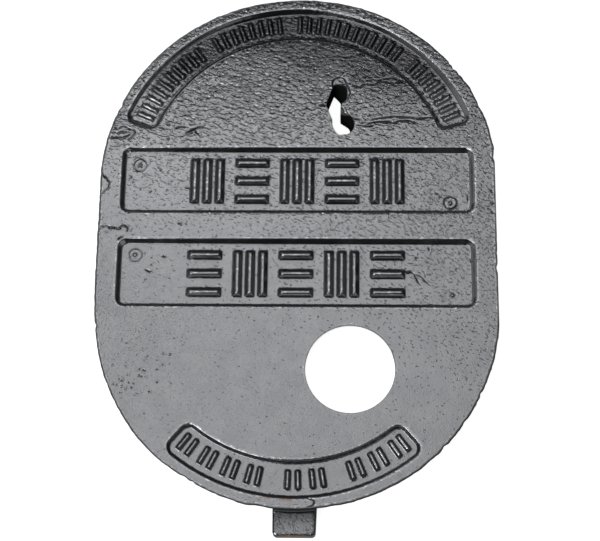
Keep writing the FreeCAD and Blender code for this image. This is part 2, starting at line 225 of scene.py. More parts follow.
# Depth inside the outline over which its shift fades, and the same beside the tongue, in mm
OUTLINE_FADE, TONGUE_FADE = 6.0, 3.0

# How far in front of a steep wall the height map is looked up, in mm
WALL_PROBE = 0.6

# Rise above the surroundings, in mm, that counts as fully worn and takes the full painted highlight
FULL_WEAR = 0.25

# Share of painted shade, black and matte, on the plate's side, in the reader hole and in the
# keyhole
SIDE_DARK, BORE_DARK, KEYHOLE_DARK = 0.6, 0.92, 1

# Angle between two faces, in degrees, from which their edge shows sharp
SHARP_ANGLE = 50


# Casting mesh: the CAD faces cut into small triangles

def welded(source):
    """Copy of a CAD mesh with its doubled vertices joined."""
    bm = bmesh.new()
    bm.from_mesh(source)
    bmesh.ops.remove_doubles(bm, verts=bm.verts, dist=1e-6)
    bmesh.ops.dissolve_degenerate(bm, edges=bm.edges, dist=1e-6)
    bmesh.ops.triangulate(bm, faces=bm.faces)
    bm.normal_update()
    bm.verts.ensure_lookup_table()
    bm.faces.ensure_lookup_table()
    return bm


def flat_regions(bm):
    """Groups of faces that lie in one plane and touch, and each face's group."""
    group = {}
    regions = []
    for seed in bm.faces:
        if seed.index in group:
            continue
        members = [seed]
        group[seed.index] = len(regions)
        for face in members:
            for edge in face.edges:
                for other in edge.link_faces:
                    if other.index not in group and other.normal.dot(seed.normal) > 1 - 1e-6:
                        group[other.index] = len(regions)
                        members.append(other)
        regions.append(members)
    return regions, group


def middle_of(faces):
    """Mean of the faces' centres."""
    return sum((f.calc_center_median() for f in faces), Vector()) / len(faces)


def is_relief(faces):
    """Whether a flat region belongs to the worn side: face, recesses, walls and bars."""
    low = min(v.co.z for f in faces for v in f.verts)
    return faces[0].normal.z > STEEP and low > RELIEF_BOTTOM * MM


def is_drafted(normal):
    """Whether a face of the worn side is one of the slanting walls of a recess or bar."""
    return DRAFTED < normal.z < LEVEL


def edge_pitch(a, b):
    """Longest piece that an edge between flat regions is cut into."""
    low = min(a.z, b.z)
    if low > RELIEF_BOTTOM * MM:
        return RELIEF_EDGE
    if abs(a.z - b.z) > 2 * MM or low > 9 * MM:
        return WALL_EDGE
    return BASE_EDGE


def inner_pitch(faces):
    """Spacing of the points inside a flat region, none for a small one."""
    if sum(f.calc_area() for f in faces) < SMALL_AREA:
        return None
    upward = faces[0].normal.z
    if upward > LEVEL and middle_of(faces).z > RELIEF_BOTTOM * MM:
        return RELIEF_PITCH
    return UNDERSIDE_PITCH if upward < -0.5 else WALL_PITCH


def edge_chains(bm, group, points):
    """Vertices along each edge between two regions. The new ones are added to the points."""
    chains = {}
    for edge in bm.edges:
        if len({group[f.index] for f in edge.link_faces}) < 2:
            continue
        a, b = edge.verts
        parts = max(1, math.ceil((a.co - b.co).length / edge_pitch(a.co, b.co)))
        chain = [a.index]
        for k in range(1, parts):
            chain.append(len(points))
            points.append(tuple(a.co.lerp(b.co, k / parts)))
        chains[edge.index] = chain + [b.index]
    return chains


def refine(bm, marks):
    """Closed mesh of the same faces in small triangles: positions, triangles, and each flat
    region with its vertices."""
    regions, group = flat_regions(bm)
    points = [tuple(v.co) for v in bm.verts]
    runs = edge_chains(bm, group, points)
    triangles = []
    skins = []
    for faces in regions:
        chains = [runs[e.index] for f in faces for e in f.edges if e.index in runs]
        kept = region_triangles(faces, chains, points, marks)
        triangles += kept
        skins.append((faces, {i for face in kept for i in face}))
    return np.array(points), triangles, skins


def region_triangles(faces, chains, points, marks):
    """Small triangles over one flat region, bounded by its edge chains. New vertices are added
    to the points."""
    normal = faces[0].normal.copy()
    turn = normal.to_track_quat("Z", "Y").to_matrix()
    axes = np.array([turn.col[0], turn.col[1]])
    offset = normal.dot(faces[0].verts[0].co)
    ring = sorted({i for chain in chains for i in chain})
    local = {i: k for k, i in enumerate(ring)}
    flat = np.array([points[i] for i in ring]) @ axes.T
    edges = [(local[i], local[j]) for chain in chains for i, j in zip(chain, chain[1:])]
    inner = inside_points(faces, axes, flat, edges, marks)
    spots = [Vector(p) for p in flat] + [Vector(p) for p in inner]
    result = delaunay_2d_cdt(spots, edges, [], 0, 1e-9)
    out_points, out_edges, out_faces, origins, edge_origins = result[:5]
    index = []
    for k, point in enumerate(out_points):
        if origins[k] and min(origins[k]) < len(ring):
            index.append(ring[min(origins[k])])
        else:
            place = turn.col[0] * point.x + turn.col[1] * point.y + normal * offset
            index.append(len(points))
            points.append(tuple(place))
    walls = {tuple(sorted(e)) for e, origin in zip(out_edges, edge_origins) if origin}
    kept = kept_faces(out_points, out_faces, walls, faces, axes)
    return [[index[k] for k in face] for face in kept]


def kept_faces(points, triangles, walls, faces, axes):
    """Triangles of the patches, bounded by walls, that the faces cover."""
    if len(triangles) == 1:
        return triangles
    beside = {}
    for number, face in enumerate(triangles):
        for i, j in zip(face, face[1:] + face[:1]):
            key = (i, j) if i < j else (j, i)
            if key not in walls:
                beside.setdefault(key, []).append(number)
    links = [[] for _ in triangles]
    outer = np.zeros(len(triangles), bool)
    for pair in beside.values():
        if len(pair) == 2:
            links[pair[0]].append(pair[1])
            links[pair[1]].append(pair[0])
        else:
            outer[pair[0]] = True
    corners = np.array([[tuple(points[k]) for k in face] for face in triangles])
    one, two = corners[:, 1] - corners[:, 0], corners[:, 2] - corners[:, 0]
    areas = np.abs(one[:, 0] * two[:, 1] - one[:, 1] * two[:, 0])
    votes = np.where(inside(corners.mean(axis=1), faces, axes), areas, -areas)
    patch = [-1] * len(triangles)
    kept = []
    for seed in range(len(triangles)):
        if patch[seed] >= 0:
            continue
        patch[seed] = seed
        members = [seed]
        for number in members:
            for other in links[number]:
                if patch[other] < 0:
                    patch[other] = seed
                    members.append(other)
        if votes[members].sum() > 0 and not outer[members].any():
            kept += [triangles[k] for k in members]
    return kept


def side_of(points, a, b):
    """Which side of the line from a to b each flat point lies on, by sign."""
    return (points[:, 0] - a[0]) * (b[1] - a[1]) - (points[:, 1] - a[1]) * (b[0] - a[0])


def inside(points, faces, axes):
    """For each flat point, whether one of the faces covers it."""
    order = np.argsort(points[:, 0])
    row = points[order]
    hit = np.zeros(len(points), bool)
    for face in faces:
        a, b, c = [axes @ np.array(v.co) for v in face.verts]
        ends = [min(a[0], b[0], c[0]), max(a[0], b[0], c[0])]
        first, last = np.searchsorted(row[:, 0], ends)
        if first == last:
            continue
        p = row[first:last]
        sides = np.array([side_of(p, a, b), side_of(p, b, c), side_of(p, c, a)])
        hit[first:last] |= (sides >= 0).all(axis=0) | (sides <= 0).all(axis=0)
    result = np.zeros(len(points), bool)
    result[order] = hit
    return result


def inside_points(faces, axes, flat, edges, marks):
    """Points inside a flat region: rows beside its edges, those of the casting marks, and an
    even grid."""
    normal, relief = faces[0].normal, is_relief(faces)
    low, high = flat.min(axis=0), flat.max(axis=0)
    batches = []
    pairs = np.array(edges)
    a, b = flat[pairs[:, 0]], flat[pairs[:, 1]]
    along = b - a
    side = np.column_stack([-along[:, 1], along[:, 0]]) / np.linalg.norm(along, axis=1)[:, None]
    if relief:
        for away in WALL_ROWS if is_drafted(normal) else EDGE_ROWS:
            for sign in (-1, 1):
                batches.append((ROW_GAP, (a + b) / 2 + side * sign * away))
    if relief and normal.z > LEVEL:
        spots = marks @ axes.T
        batches.append((MARK_GAP, spots[((spots > low) & (spots < high)).all(axis=1)]))
    pitch = inner_pitch(faces)
    if pitch:
        step = pitch * math.sqrt(3) / 2
        for row in range(int((high[1] - low[1]) / step) + 2):
            x = np.arange(low[0] + pitch * (0.25 if row % 2 else 0.75), high[0], pitch)
            y = np.full(len(x), low[1] + (row + 0.5) * step)
            batches.append((PITCH_GAP, np.column_stack([x, y])))
    if not batches:
        return []
    covered = inside(np.concatenate([batch for _, batch in batches]), faces, axes)
    cells = {}
    for x, y in flat:
        cells.setdefault((int(x // CELL), int(y // CELL)), []).append((x, y))
    chosen = []
    start = 0
    for gap, batch in batches:
        for x, y in batch[covered[start:start + len(batch)]]:
            i, j = int(x // CELL), int(y // CELL)
            near = [q for di in (-1, 0, 1) for dj in (-1, 0, 1)
                    for q in cells.get((i + di, j + dj), ())]
            if all((q[0] - x) ** 2 + (q[1] - y) ** 2 >= gap * gap for q in near):
                cells.setdefault((i, j), []).append((x, y))
                chosen.append((x, y))
        start += len(batch)
    return chosen


def circle_points(x, y, circles):
    """Points round a place on circles given as number of points and radius."""
    places = []
    for count, reach in circles:
        turns = np.arange(count) * 2 * math.pi / count
        places += list(np.column_stack([x + reach * np.cos(turns), y + reach * np.sin(turns)]))
    return places


def mark_points():
    """Places in metres where the mesh needs vertices to carry the grooves, pits and rings."""
    places = []
    for _, half, _, path in GROOVES:
        for a, b in zip(path, path[1:]):
            a, b = np.array(a), np.array(b)
            length = np.linalg.norm(b - a)
            side = np.array([-(b - a)[1], (b - a)[0]]) / length
            steps = max(1.0, length / 0.6)
            for t in np.arange(0.5, steps) / steps:
                for away in (0, -half, half, -2.2 * half, 2.2 * half):
                    places.append(a + (b - a) * t + side * away)
    for x, y, radius, _ in PITS:
        places += circle_points(x, y, ((1, 0), (6, 0.6 * radius), (8, 1.3 * radius)))
    for x, y, _, _ in RINGS:
        places += circle_points(x, y, RING_CIRCLES)
    places = np.array(places) * MM
    return np.column_stack([places, np.zeros(len(places))])


# Height map: the worn side with its edges rounded and the casting marks cut in

def relief_map(skins):
    """Height of the CAD's worn side in millimetres on a fine grid, nan where there is none."""
    height = np.full((GRID_ROWS, GRID_COLUMNS), np.nan)
    for faces, _ in skins:
        if not is_relief(faces):
            continue
        normal = faces[0].normal
        anchor = faces[0].verts[0].co / MM
        counts = {}
        for f in faces:
            for e in f.edges:
                counts[e.index] = counts.get(e.index, 0) + 1
        rim = [e for f in faces for e in f.edges if counts[e.index] == 1]
        a = np.array([e.verts[0].co[:2] for e in rim]) / MM
        b = np.array([e.verts[1].co[:2] for e in rim]) / MM
        low, high = min(a[:, 1].min(), b[:, 1].min()), max(a[:, 1].max(), b[:, 1].max())
        first = max(0, math.ceil((low - GRID_Y) / GRID))
        last = min(GRID_ROWS - 1, math.floor((high - GRID_Y) / GRID))
        for row in range(first, last + 1):
            y = GRID_Y + row * GRID + 1e-7
            crossing = (a[:, 1] > y) != (b[:, 1] > y)
            p, q = a[crossing], b[crossing]
            xs = np.sort(p[:, 0] + (y - p[:, 1]) / (q[:, 1] - p[:, 1]) * (q[:, 0] - p[:, 0]))
            for x0, x1 in zip(xs[::2], xs[1::2]):
                i0 = max(0, math.ceil((x0 - GRID_X) / GRID))
                i1 = min(GRID_COLUMNS - 1, math.floor((x1 - GRID_X) / GRID))
                if i1 < i0:
                    continue
                x = GRID_X + np.arange(i0, i1 + 1) * GRID
                slope = normal.x * (x - anchor.x) + normal.y * (y - anchor.y)
                height[row, i0:i1 + 1] = wall_profile(anchor.z - slope / normal.z, normal, y)
    return height


def steeper_share(normal, y):
    """How much of the steeper profile a recess wall takes: all of it in the lower arch, and
    elsewhere the more, the more the wall faces away from the front. In the upper arch those
    that face to the right and the front take it too."""
    if y < LOWER_ARCH_Y:
        return 1.0
    if y > UPPER_ARCH_Y and normal.x > 0 > normal.y:
        return min(max((normal.x - 0.15) / 0.25, 0.0), 0.9)
    return min(max((normal.y - 0.25) / 0.25, 0.0), 0.5 if y > UPPER_ARCH_Y else 1.0)


def wall_profile(height, normal, y):
    """Heights of a recess wall in mm, its lower half brought down to the floor of the recess."""
    if not is_drafted(normal):
        return height
    rise = np.clip((height - RECESS_Z) / (FACE_Z - RECESS_Z), 0, 1)
    steeper = RECESS_Z + (FACE_Z - RECESS_Z) * np.clip((rise - 0.5) / 0.5, 0, 1)
    return height + steeper_share(normal, y) * (steeper - height)


def blurred(values, sigma):
    """Gaussian blur over the cells that have a value, sigma in millimetres."""
    reach = int(3 * sigma / GRID) + 1
    weights = np.exp(-0.5 * (np.arange(-reach, reach + 1) * GRID / sigma) ** 2)
    known = ~np.isnan(values)
    total, share = np.where(known, values, 0.0), known.astype(float)
    for axis in (0, 1):
        sums, shares = np.zeros_like(total), np.zeros_like(share)
        for k, weight in enumerate(weights):
            shift = k - reach
            sums += weight * np.roll(total, shift, axis)
            shares += weight * np.roll(share, shift, axis)
        total, share = sums, shares
    return total / np.maximum(share, 1e-9)


def lattice_noise(pitch, seed):
    """Smooth noise from -1 to 1 on the grid, its bumps about one pitch apart, in millimetres."""
    rng = np.random.default_rng(seed)
    rows, columns = int(GRID_ROWS * GRID / pitch) + 3, int(GRID_COLUMNS * GRID / pitch) + 3
    table = rng.uniform(-1, 1, (rows, columns))
    y = np.arange(GRID_ROWS) * GRID / pitch
    x = np.arange(GRID_COLUMNS) * GRID / pitch
    j, i = y.astype(int), x.astype(int)
    fy, fx = y - j, x - i
    fy, fx = (fy * fy * (3 - 2 * fy))[:, None], fx * fx * (3 - 2 * fx)
    low = table[np.ix_(j, i)] * (1 - fx) + table[np.ix_(j, i + 1)] * fx
    high = table[np.ix_(j + 1, i)] * (1 - fx) + table[np.ix_(j + 1, i + 1)] * fx
    return low * (1 - fy) + high * fy


def sampled(values, x, y):
    """Values of the grid at points given in metres."""
    u = np.clip((x / MM - GRID_X) / GRID, 0, GRID_COLUMNS - 1.001)
    v = np.clip((y / MM - GRID_Y) / GRID, 0, GRID_ROWS - 1.001)
    i, j = u.astype(int), v.astype(int)
    fu, fv = u - i, v - j
    low = values[j, i] * (1 - fu) + values[j, i + 1] * fu
    high = values[j + 1, i] * (1 - fu) + values[j + 1, i + 1] * fu
    return low * (1 - fv) + high * fv


def window(x0, x1, y0, y1):
    """Slices of the grid round a mark, and the coordinates of their cells in millimetres."""
    i0, i1 = int((x0 - GRID_X) / GRID), int((x1 - GRID_X) / GRID) + 1
    j0, j1 = int((y0 - GRID_Y) / GRID), int((y1 - GRID_Y) / GRID) + 1
    i0, j0 = max(i0, 0), max(j0, 0)
    i1, j1 = min(i1, GRID_COLUMNS), min(j1, GRID_ROWS)
    x, y = GRID_X + np.arange(i0, i1) * GRID, GRID_Y + np.arange(j0, j1) * GRID
    return (slice(j0, j1), slice(i0, i1)), *np.meshgrid(x, y)


def path_distance(path, x, y):
    """Distance of each cell from a path, and whether the cell lies on the path's left."""
    best = np.full(x.shape, np.inf)
    left = np.zeros(x.shape, bool)
    for (ax, ay), (bx, by) in zip(path, path[1:]):
        dx, dy = bx - ax, by - ay
        t = np.clip(((x - ax) * dx + (y - ay) * dy) / (dx * dx + dy * dy), 0, 1)
        away = np.hypot(x - ax - t * dx, y - ay - t * dy)
        nearer = away < best
        best[nearer] = away[nearer]
        left[nearer] = (dx * (y - ay) - dy * (x - ax) > 0)[nearer]
    return best, left


def hump(reach, middle, width):
    """Round hump of height 1 over a distance, at the middle."""
    return np.exp(-((reach - middle) / width) ** 2)


def cut_marks(height):
    """Cut the grooves, pits, rings and scabs into the height map, their outlines wandering."""
    wander_x = WANDER * lattice_noise(WANDER_PITCH, 11)
    wander_y = WANDER * lattice_noise(WANDER_PITCH, 12)
    for x, y, length, width, rise in SCABS:
        reach_x, reach_y = 1.4 * length, 1.4 * width
        cells, gx, gy = window(x - reach_x, x + reach_x, y - reach_y, y + reach_y)
        reach = np.hypot((gx - x) / length, (gy - y) / width) + 1.2 * wander_x[cells]
        height[cells] += rise * np.clip((1.1 - reach) / 0.12, 0, 1)
    for depth, half, lip, path in GROOVES:
        xs, ys = [p[0] for p in path], [p[1] for p in path]
        cells, gx, gy = window(min(xs) - 3, max(xs) + 3, min(ys) - 3, max(ys) + 3)
        gx, gy = gx + wander_x[cells], gy + wander_y[cells]
        away, left = path_distance(path, gx, gy)
        start, end = np.hypot(gx - xs[0], gy - ys[0]), np.hypot(gx - xs[-1], gy - ys[-1])
        core = hump(away, 0, half)
        height[cells] -= depth * core * np.clip(np.minimum(start, end) / 1.5 + 0.4, 0.4, 1)
        height[cells] += np.where(left, lip, 0.3 * lip) * np.exp(-away / 1.0) * (1 - core)
    for x, y, radius, depth in PITS:
        cells, gx, gy = window(x - 3 * radius, x + 3 * radius, y - 3 * radius, y + 3 * radius)
        reach = np.hypot(gx - x + wander_x[cells], gy - y + wander_y[cells]) / radius
        height[cells] -= depth * hump(reach, 0, 1)
        height[cells] += 0.25 * depth * hump(reach, 1.7, 0.4)
    for x, y, depth, pip in RINGS:
        cells, gx, gy = window(x - 6, x + 6, y - 6, y + 6)
        reach = np.hypot(gx - x + 0.9 * wander_x[cells], gy - y + 0.9 * wander_y[cells])
        off_groove = reach - RING_RADIUS
        height[cells] -= depth * hump(off_groove, 0, 0.42)
        height[cells] += 0.5 * depth * hump(off_groove, -0.95, 0.6)
        height[cells] += pip * hump(reach, 0, 0.6) - 0.35 * hump(reach, 1.0, 0.5)


def worn_height(skins):
    """Height map of the worn side, with rounded edges and slow unevenness, the true one, and
    the marks alone."""
    sharp = relief_map(skins)
    height = blurred(sharp, EDGE_BLUR)
    drop = SKIN_DROP
    for rise, pitch, seed in SWELLS:
        drop = drop + rise * lattice_noise(pitch, seed)
    height -= drop
    unmarked = height.copy()
    cut_marks(height)
    return height, sharp, height - unmarked


def outline_frame(positions):
    """For each position in metres: depth inside the outline in mm, and the outward direction."""
    x, y = positions[:, 0] / MM, positions[:, 1] / MM
    middle = np.clip(y, END_LOW, END_HIGH)
    reach = np.hypot(x, y - middle)
    outward = np.column_stack([x, y - middle]) / np.maximum(reach, 1e-6)[:, None]
    return END_RADIUS - reach, outward


def ragged_outline(positions):
    """Shift the side and rim of the plate to the uneven outline of the casting."""
    depth, outward = outline_frame(positions)
    x, y = positions[:, 0] / MM, positions[:, 1] / MM
    turns = np.degrees(np.arctan2(y - MIDDLE_Y, x)) % 360
    shift = np.interp(turns, np.arange(len(OUTLINE_SHIFT)) * 8, OUTLINE_SHIFT, period=360)
    for rise, pitch, seed in OUTLINE_SWELLS:
        shift += rise * sampled(lattice_noise(pitch, seed), positions[:, 0], positions[:, 1])
    for nick_x, nick_y, nick, half in NICKS:
        shift -= nick * np.exp(-(np.hypot(x - nick_x, y - nick_y) / half) ** 2)
    shift *= np.clip(1 - depth / OUTLINE_FADE, 0, 1)
    beside_tongue = np.clip((np.abs(x - TONGUE_X) - TONGUE_HALF) / TONGUE_FADE, 0, 1)
    shift *= np.where(y < TONGUE_Y, beside_tongue, 1.0)
    positions[:, :2] += outward * (shift * MM)[:, None]
    for axis in (0, 1):
        low, high = cad_low[axis] + 1e-5, cad_high[axis] - 1e-5
        positions[:, axis] = np.clip(positions[:, axis], low, high)


def steep_wall_vertices(skins, sharp):
    """Vertices of the steep walls inside the keyhole, inside the reader hole, and round the
    plate."""
    keyhole, bore, side = set(), set(), set()
    for faces, vertices in skins:
        normal = faces[0].normal
        if abs(normal.z) > STEEP:
            continue
        x, y = middle_of(faces).xy / MM
        if math.hypot(x, y - min(max(y, END_LOW), END_HIGH)) > SIDE_REACH:
            side |= vertices
        if math.dist((x, y), READER_HOLE) < READER_REACH:
            bore |= vertices
        if math.dist((x, y), KEYHOLE) > KEYHOLE_REACH:
            continue
        # A wall of the opening has nothing of the worn side just in front of it
        ahead = normal.xy.normalized() * WALL_PROBE
        column, row = round((x + ahead.x - GRID_X) / GRID), round((y + ahead.y - GRID_Y) / GRID)
        if np.isnan(sharp[row, column]):
            keyhole |= vertices
    return sorted(keyhole), sorted(bore), sorted(side)


def wear_and_painted_shade(places, height, sharp, marks):
    """How worn the worn side is at places in metres, with its painted shade: towards 1 on raised
    edges, which are worn and carry a painted highlight, and below 0 for painted shade in hollows
    and beside openings."""
    x, y = places[:, 0], places[:, 1]
    raised = np.maximum(sampled(height, x, y) - sampled(blurred(height, WEAR_BLUR), x, y), 0)
    wear_shade = raised + np.minimum(sampled(marks, x, y), 0)
    # Openings and the outline nearby take the worn brightening away, and very near turn it into
    # painted shade
    closed = sampled(blurred(np.where(np.isnan(sharp), 0.0, 1.0), OPEN_BLUR), x, y)
    wear_shade = wear_shade / FULL_WEAR * np.clip((closed - 0.7) / 0.28, 0, 1)
    return np.clip(wear_shade - np.clip((0.78 - closed) / 0.18, 0, 1), -1, 1)


def rim_painted_shade(places):
    """Painted shade on the bevel round the plate at places in metres, more of it towards the foot.
    """
    depth, outward = outline_frame(places)
    foot = np.clip(0.2 - 2 * outward[:, 1], 0, 1)
    return np.clip((1.2 - depth) / 0.5, 0, 1) * (0.2 + 0.65 * foot)


def set_attribute(mesh, name, size, parts):
    """Give each vertex a number: 0, or that of the last part that holds it."""
    values = np.zeros(size, np.float32)
    for vertices, value in parts:
        values[vertices] = value
    mesh.attributes.new(name, "FLOAT", "POINT").data.foreach_set("value", values)


def build_cover():
    """The cover as one closed mesh, laid out on the faces of the CAD solid."""
    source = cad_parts["meter_cover"]
    bm = welded(source.data)
    positions, triangles, skins = refine(bm, mark_points())
    height, sharp, marks = worn_height(skins)
    relief = sorted({i for faces, vertices in skins if is_relief(faces) for i in vertices})
    key_walls, bore, side = steep_wall_vertices(skins, sharp)
    bm.free()
    wear_shade = wear_and_painted_shade(positions[relief], height, sharp, marks)
    bevel_shade = rim_painted_shade(positions[relief])
    worn = sampled(height, positions[relief, 0], positions[relief, 1])
    positions[relief, 2] = np.minimum(worn, FACE_Z) * MM
    ragged_outline(positions)
    mesh = bpy.data.meshes.new("cast_cover")
    mesh.from_pydata([tuple(p) for p in positions], [], triangles)
    mesh.update()
    set_attribute(mesh, "wear_and_painted_shade", len(positions), [(relief, wear_shade)])
    # Painted shade, black and matte, on the side, in the holes and on the rim bevel
    set_attribute(mesh, "painted_shade", len(positions), [
        (side, SIDE_DARK), (bore, BORE_DARK), (key_walls, KEYHOLE_DARK), (relief, bevel_shade)])
    cover = bpy.data.objects.new("cast_cover", mesh)
    bpy.context.scene.collection.objects.link(cover)
    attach(cover, "root")
    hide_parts("meter_cover")
    mesh.shade_smooth()
    mesh.set_sharp_from_angle(angle=math.radians(SHARP_ANGLE))
    return cover


# Material

# Colours of the skin, the worn rims and their bared spots (worn iron, partly a painted highlight
# and painted glints), the painted shade in hollows and on recess walls, the shaded zones, the rust,
# and the painted shade inside the openings, on the plate's side and on its rim bevel
SKIN_DARK, SKIN_PALE = (0.285, 0.29, 0.302, 1), (0.325, 0.33, 0.342, 1)
WORN_SHEEN, BARE_GLINT = (0.37, 0.38, 0.395, 1), (0.60, 0.61, 0.63, 1)
HOLLOW_SHADE, WALL_SHADE, SHADED = (0.07, 0.07, 0.074, 1), (0.07, 0.071, 0.076, 1), (0.06, 0.061, 0.065, 1)
RUSTY, SHADE_BLACK = (0.30, 0.19, 0.13, 1), (0.02, 0.019, 0.018, 1)

# Height of the ripples, grit, swell and dents, in metres, a pair where it varies over the plate
RIPPLE_HEIGHT, SWELL_HEIGHT = 0.00027, 0.00020
GRIT_HEIGHTS, DENT_HEIGHTS = (0.00004, 0.00020), (0.00022, 0.00009)

# Drawn-out noises: angle in degrees, squeeze along it, and scale. Even ones: scale and detail
LEVEL_RIPPLES, SLANT_RIPPLES, DENTS = (16, 0.60, 500.0), (40, 0.72, 620.0), (22, 0.62, 760.0)
GRIT, SWELL, MOTTLE, FLAKES = (1300.0, 1.0), (120.0, 1.0), (70.0, 4.0), (420.0, 3.0)

# Limits of ramps in metres: by height for what lies below the worn side and for the tongue's
# top, by y for the grain of the top end, off the arched panels' middle for their floor, and
# from the upper end's centre for the face inside the upper panel
BELOW_FACE, TONGUE_TOP = (0.0115, 0.0095), (0.0095, 0.0088)
TOP_END, ARCH_FLOOR, INSIDE_ARCH = (0.045, 0.105), (0.0105, 0.0085), (0.088, 0.086)

# Limits of ramps by noise, and by how worn a place is, below 0 the painted shade in hollows and
# beside openings
PATCHES, HOLLOWS = (0.3, 0.7), (-0.2, -0.9)


class Graph:
    """Short ways to add and join shader nodes."""

    def __init__(self, owner):
        owner.use_nodes = True
        self.nodes = owner.node_tree.nodes
        self.links = owner.node_tree.links

    def add(self, kind, settings=(), **inputs):
        node = self.nodes.new("ShaderNode" + kind)
        for name, value in dict(settings).items():
            setattr(node, name, value)
        for name, value in inputs.items():
            self.put(node.inputs[name.replace("_", " ")], value)
        return node

    def put(self, socket, value):
        if isinstance(value, bpy.types.NodeSocket):
            self.links.new(value, socket)
        else:
            socket.default_value = value

    def math(self, operation, a, b=0.0):
        node = self.add("Math", {"operation": operation})
        self.put(node.inputs[0], a)
        self.put(node.inputs[1], b)
        return node.outputs[0]

    def plus(self, a, b):
        return self.math("ADD", a, b)

    def minus(self, a, b):
        return self.math("SUBTRACT", a, b)

    def times(self, a, b):
        return self.math("MULTIPLY", a, b)

    def most(self, a, b):
        return self.math("MAXIMUM", a, b)

    def vector(self, operation, a, b=(0, 0, 0)):
        node = self.add("VectorMath", {"operation": operation})
        self.put(node.inputs[0], a)
        self.put(node.inputs[1], b)
        return node.outputs["Value" if operation == "LENGTH" else "Vector"]

    def ramp(self, value, low, high, to_low=0.0, to_high=1.0):
        """Smooth step of a value between two limits, from one result to another."""
        node = self.add("MapRange", {"interpolation_type": "SMOOTHSTEP"}, Value=value)
        limits = {"From Min": low, "From Max": high, "To Min": to_low, "To Max": to_high}
        for name, number in limits.items():
            node.inputs[name].default_value = number
        return node.outputs["Result"]

    def blend(self, factor, one, two):
        node = self.add("Mix", {"data_type": "RGBA"})
        self.put(node.inputs[0], factor)
        self.put(node.inputs[6], one)
        self.put(node.inputs[7], two)
        return node.outputs[2]

    def attribute(self, name):
        return self.add("Attribute", {"attribute_name": name}).outputs["Fac"]

    def noise(self, place, scale, detail):
        return self.add("TexNoise", Vector=place, Scale=scale, Detail=detail).outputs["Fac"]

    def drawn_noise(self, place, degrees, squeeze, scale):
        """Noise drawn out into ripples that run down to the right at an angle."""
        turn = self.add("VectorRotate", {"rotation_type": "Z_AXIS"}, Vector=place,
                        Angle=math.radians(degrees))
        return self.noise(self.vector("MULTIPLY", turn.outputs[0], (squeeze, 1, 1)), scale, 1.0)

    def ellipse(self, place, middle, half):
        """Distance from the middle of an upright ellipse, 1 on its edge."""
        offset = self.vector("SUBTRACT", place, (*middle, 0))
        return self.vector("LENGTH", self.vector("MULTIPLY", offset, (1 / half[0], 1 / half[1], 0)))


def grain_height(g, at):
    """Height of the cast grain in metres."""
    # Level ripples at the top and left, slanting ones to the right
    level = g.drawn_noise(at.place, *LEVEL_RIPPLES)
    slant = g.drawn_noise(at.place, *SLANT_RIPPLES)
    right = g.ramp(g.minus(g.times(at.across, 0.6), at.up), -0.085, 0.02)
    ripples = g.plus(g.times(slant, right), g.times(level, g.minus(1.0, right)))

    # Cut to flat crests and hollows with short flanks between, longer ones at the top end
    flank = g.ramp(at.up, *TOP_END, 0.17, 0.25)
    ripples = g.ramp(g.math("DIVIDE", g.minus(ripples, 0.31), flank), 0.0, 1.0)

    # They grow towards the top right and are strong on the tongue. Grit grows towards the foot
    rise = g.plus(g.times(at.across, 0.55), at.up)
    coarse = g.plus(g.ramp(rise, -0.05, 0.14, 0.09, 0.63), g.ramp(at.up, *TOP_END, 0.0, 0.67))
    coarse = g.most(coarse, g.times(at.sunk, 0.7))
    height = g.times(g.times(ripples, coarse), RIPPLE_HEIGHT)
    grit = g.times(g.noise(at.place, *GRIT), g.ramp(rise, 0.02, -0.10, *GRIT_HEIGHTS))
    height = g.plus(height, grit)
    height = g.plus(height, g.times(g.noise(at.place, *SWELL), SWELL_HEIGHT))

    # Small sharp dents, more of them towards the top right, shallower at the top
    crowd = g.ramp(rise, -0.08, 0.03, -0.09, 0.01)
    dents = g.ramp(g.plus(g.drawn_noise(at.place, *DENTS), crowd), 0.60, 0.72)
    height = g.minus(height, g.times(dents, g.ramp(at.up, 0.04, 0.09, *DENT_HEIGHTS)))

    # Slopes are smooth
    return g.times(height, g.ramp(at.facing, 0.99, 0.95, 1.0, 0.08))


def shade_share(g, at):
    """How dark the skin is in the upper arch, below its middle, and at the tongue's root."""
    reach = g.ellipse(at.place, (0, END_HIGH * MM), (1, 1))
    off_middle = g.math("ABSOLUTE", g.minus(reach, ARCH_RADIUS * MM))
    arch = g.times(g.ramp(off_middle, *ARCH_FLOOR), g.ramp(at.up, 0.092, 0.118, 0.0, 0.65))
    leaning = g.plus(at.up, g.times(at.across, 0.3))
    below = g.times(g.ramp(leaning, 0.102, 0.128, 0.0, 0.55), g.ramp(reach, *INSIDE_ARCH))
    tongue = g.times(g.ramp(at.level, *TONGUE_TOP), g.ramp(at.up, -0.1585, -0.147, 0.25, 0.75))
    root = g.times(tongue, g.ramp(at.up, -0.138, -0.142))
    return g.most(g.most(arch, below), root)


def rust_share(g, at, flaky):
    """How rusty the skin is: ragged patches round the places of RUST."""
    share = 0.0
    for x, y, half_x, half_y in RUST:
        away = g.ellipse(at.place, (x * MM, y * MM), (half_x * MM, half_y * MM))
        share = g.most(share, g.ramp(g.plus(away, flaky), 1.6, 0.9, 0.0, 0.65))
    return share


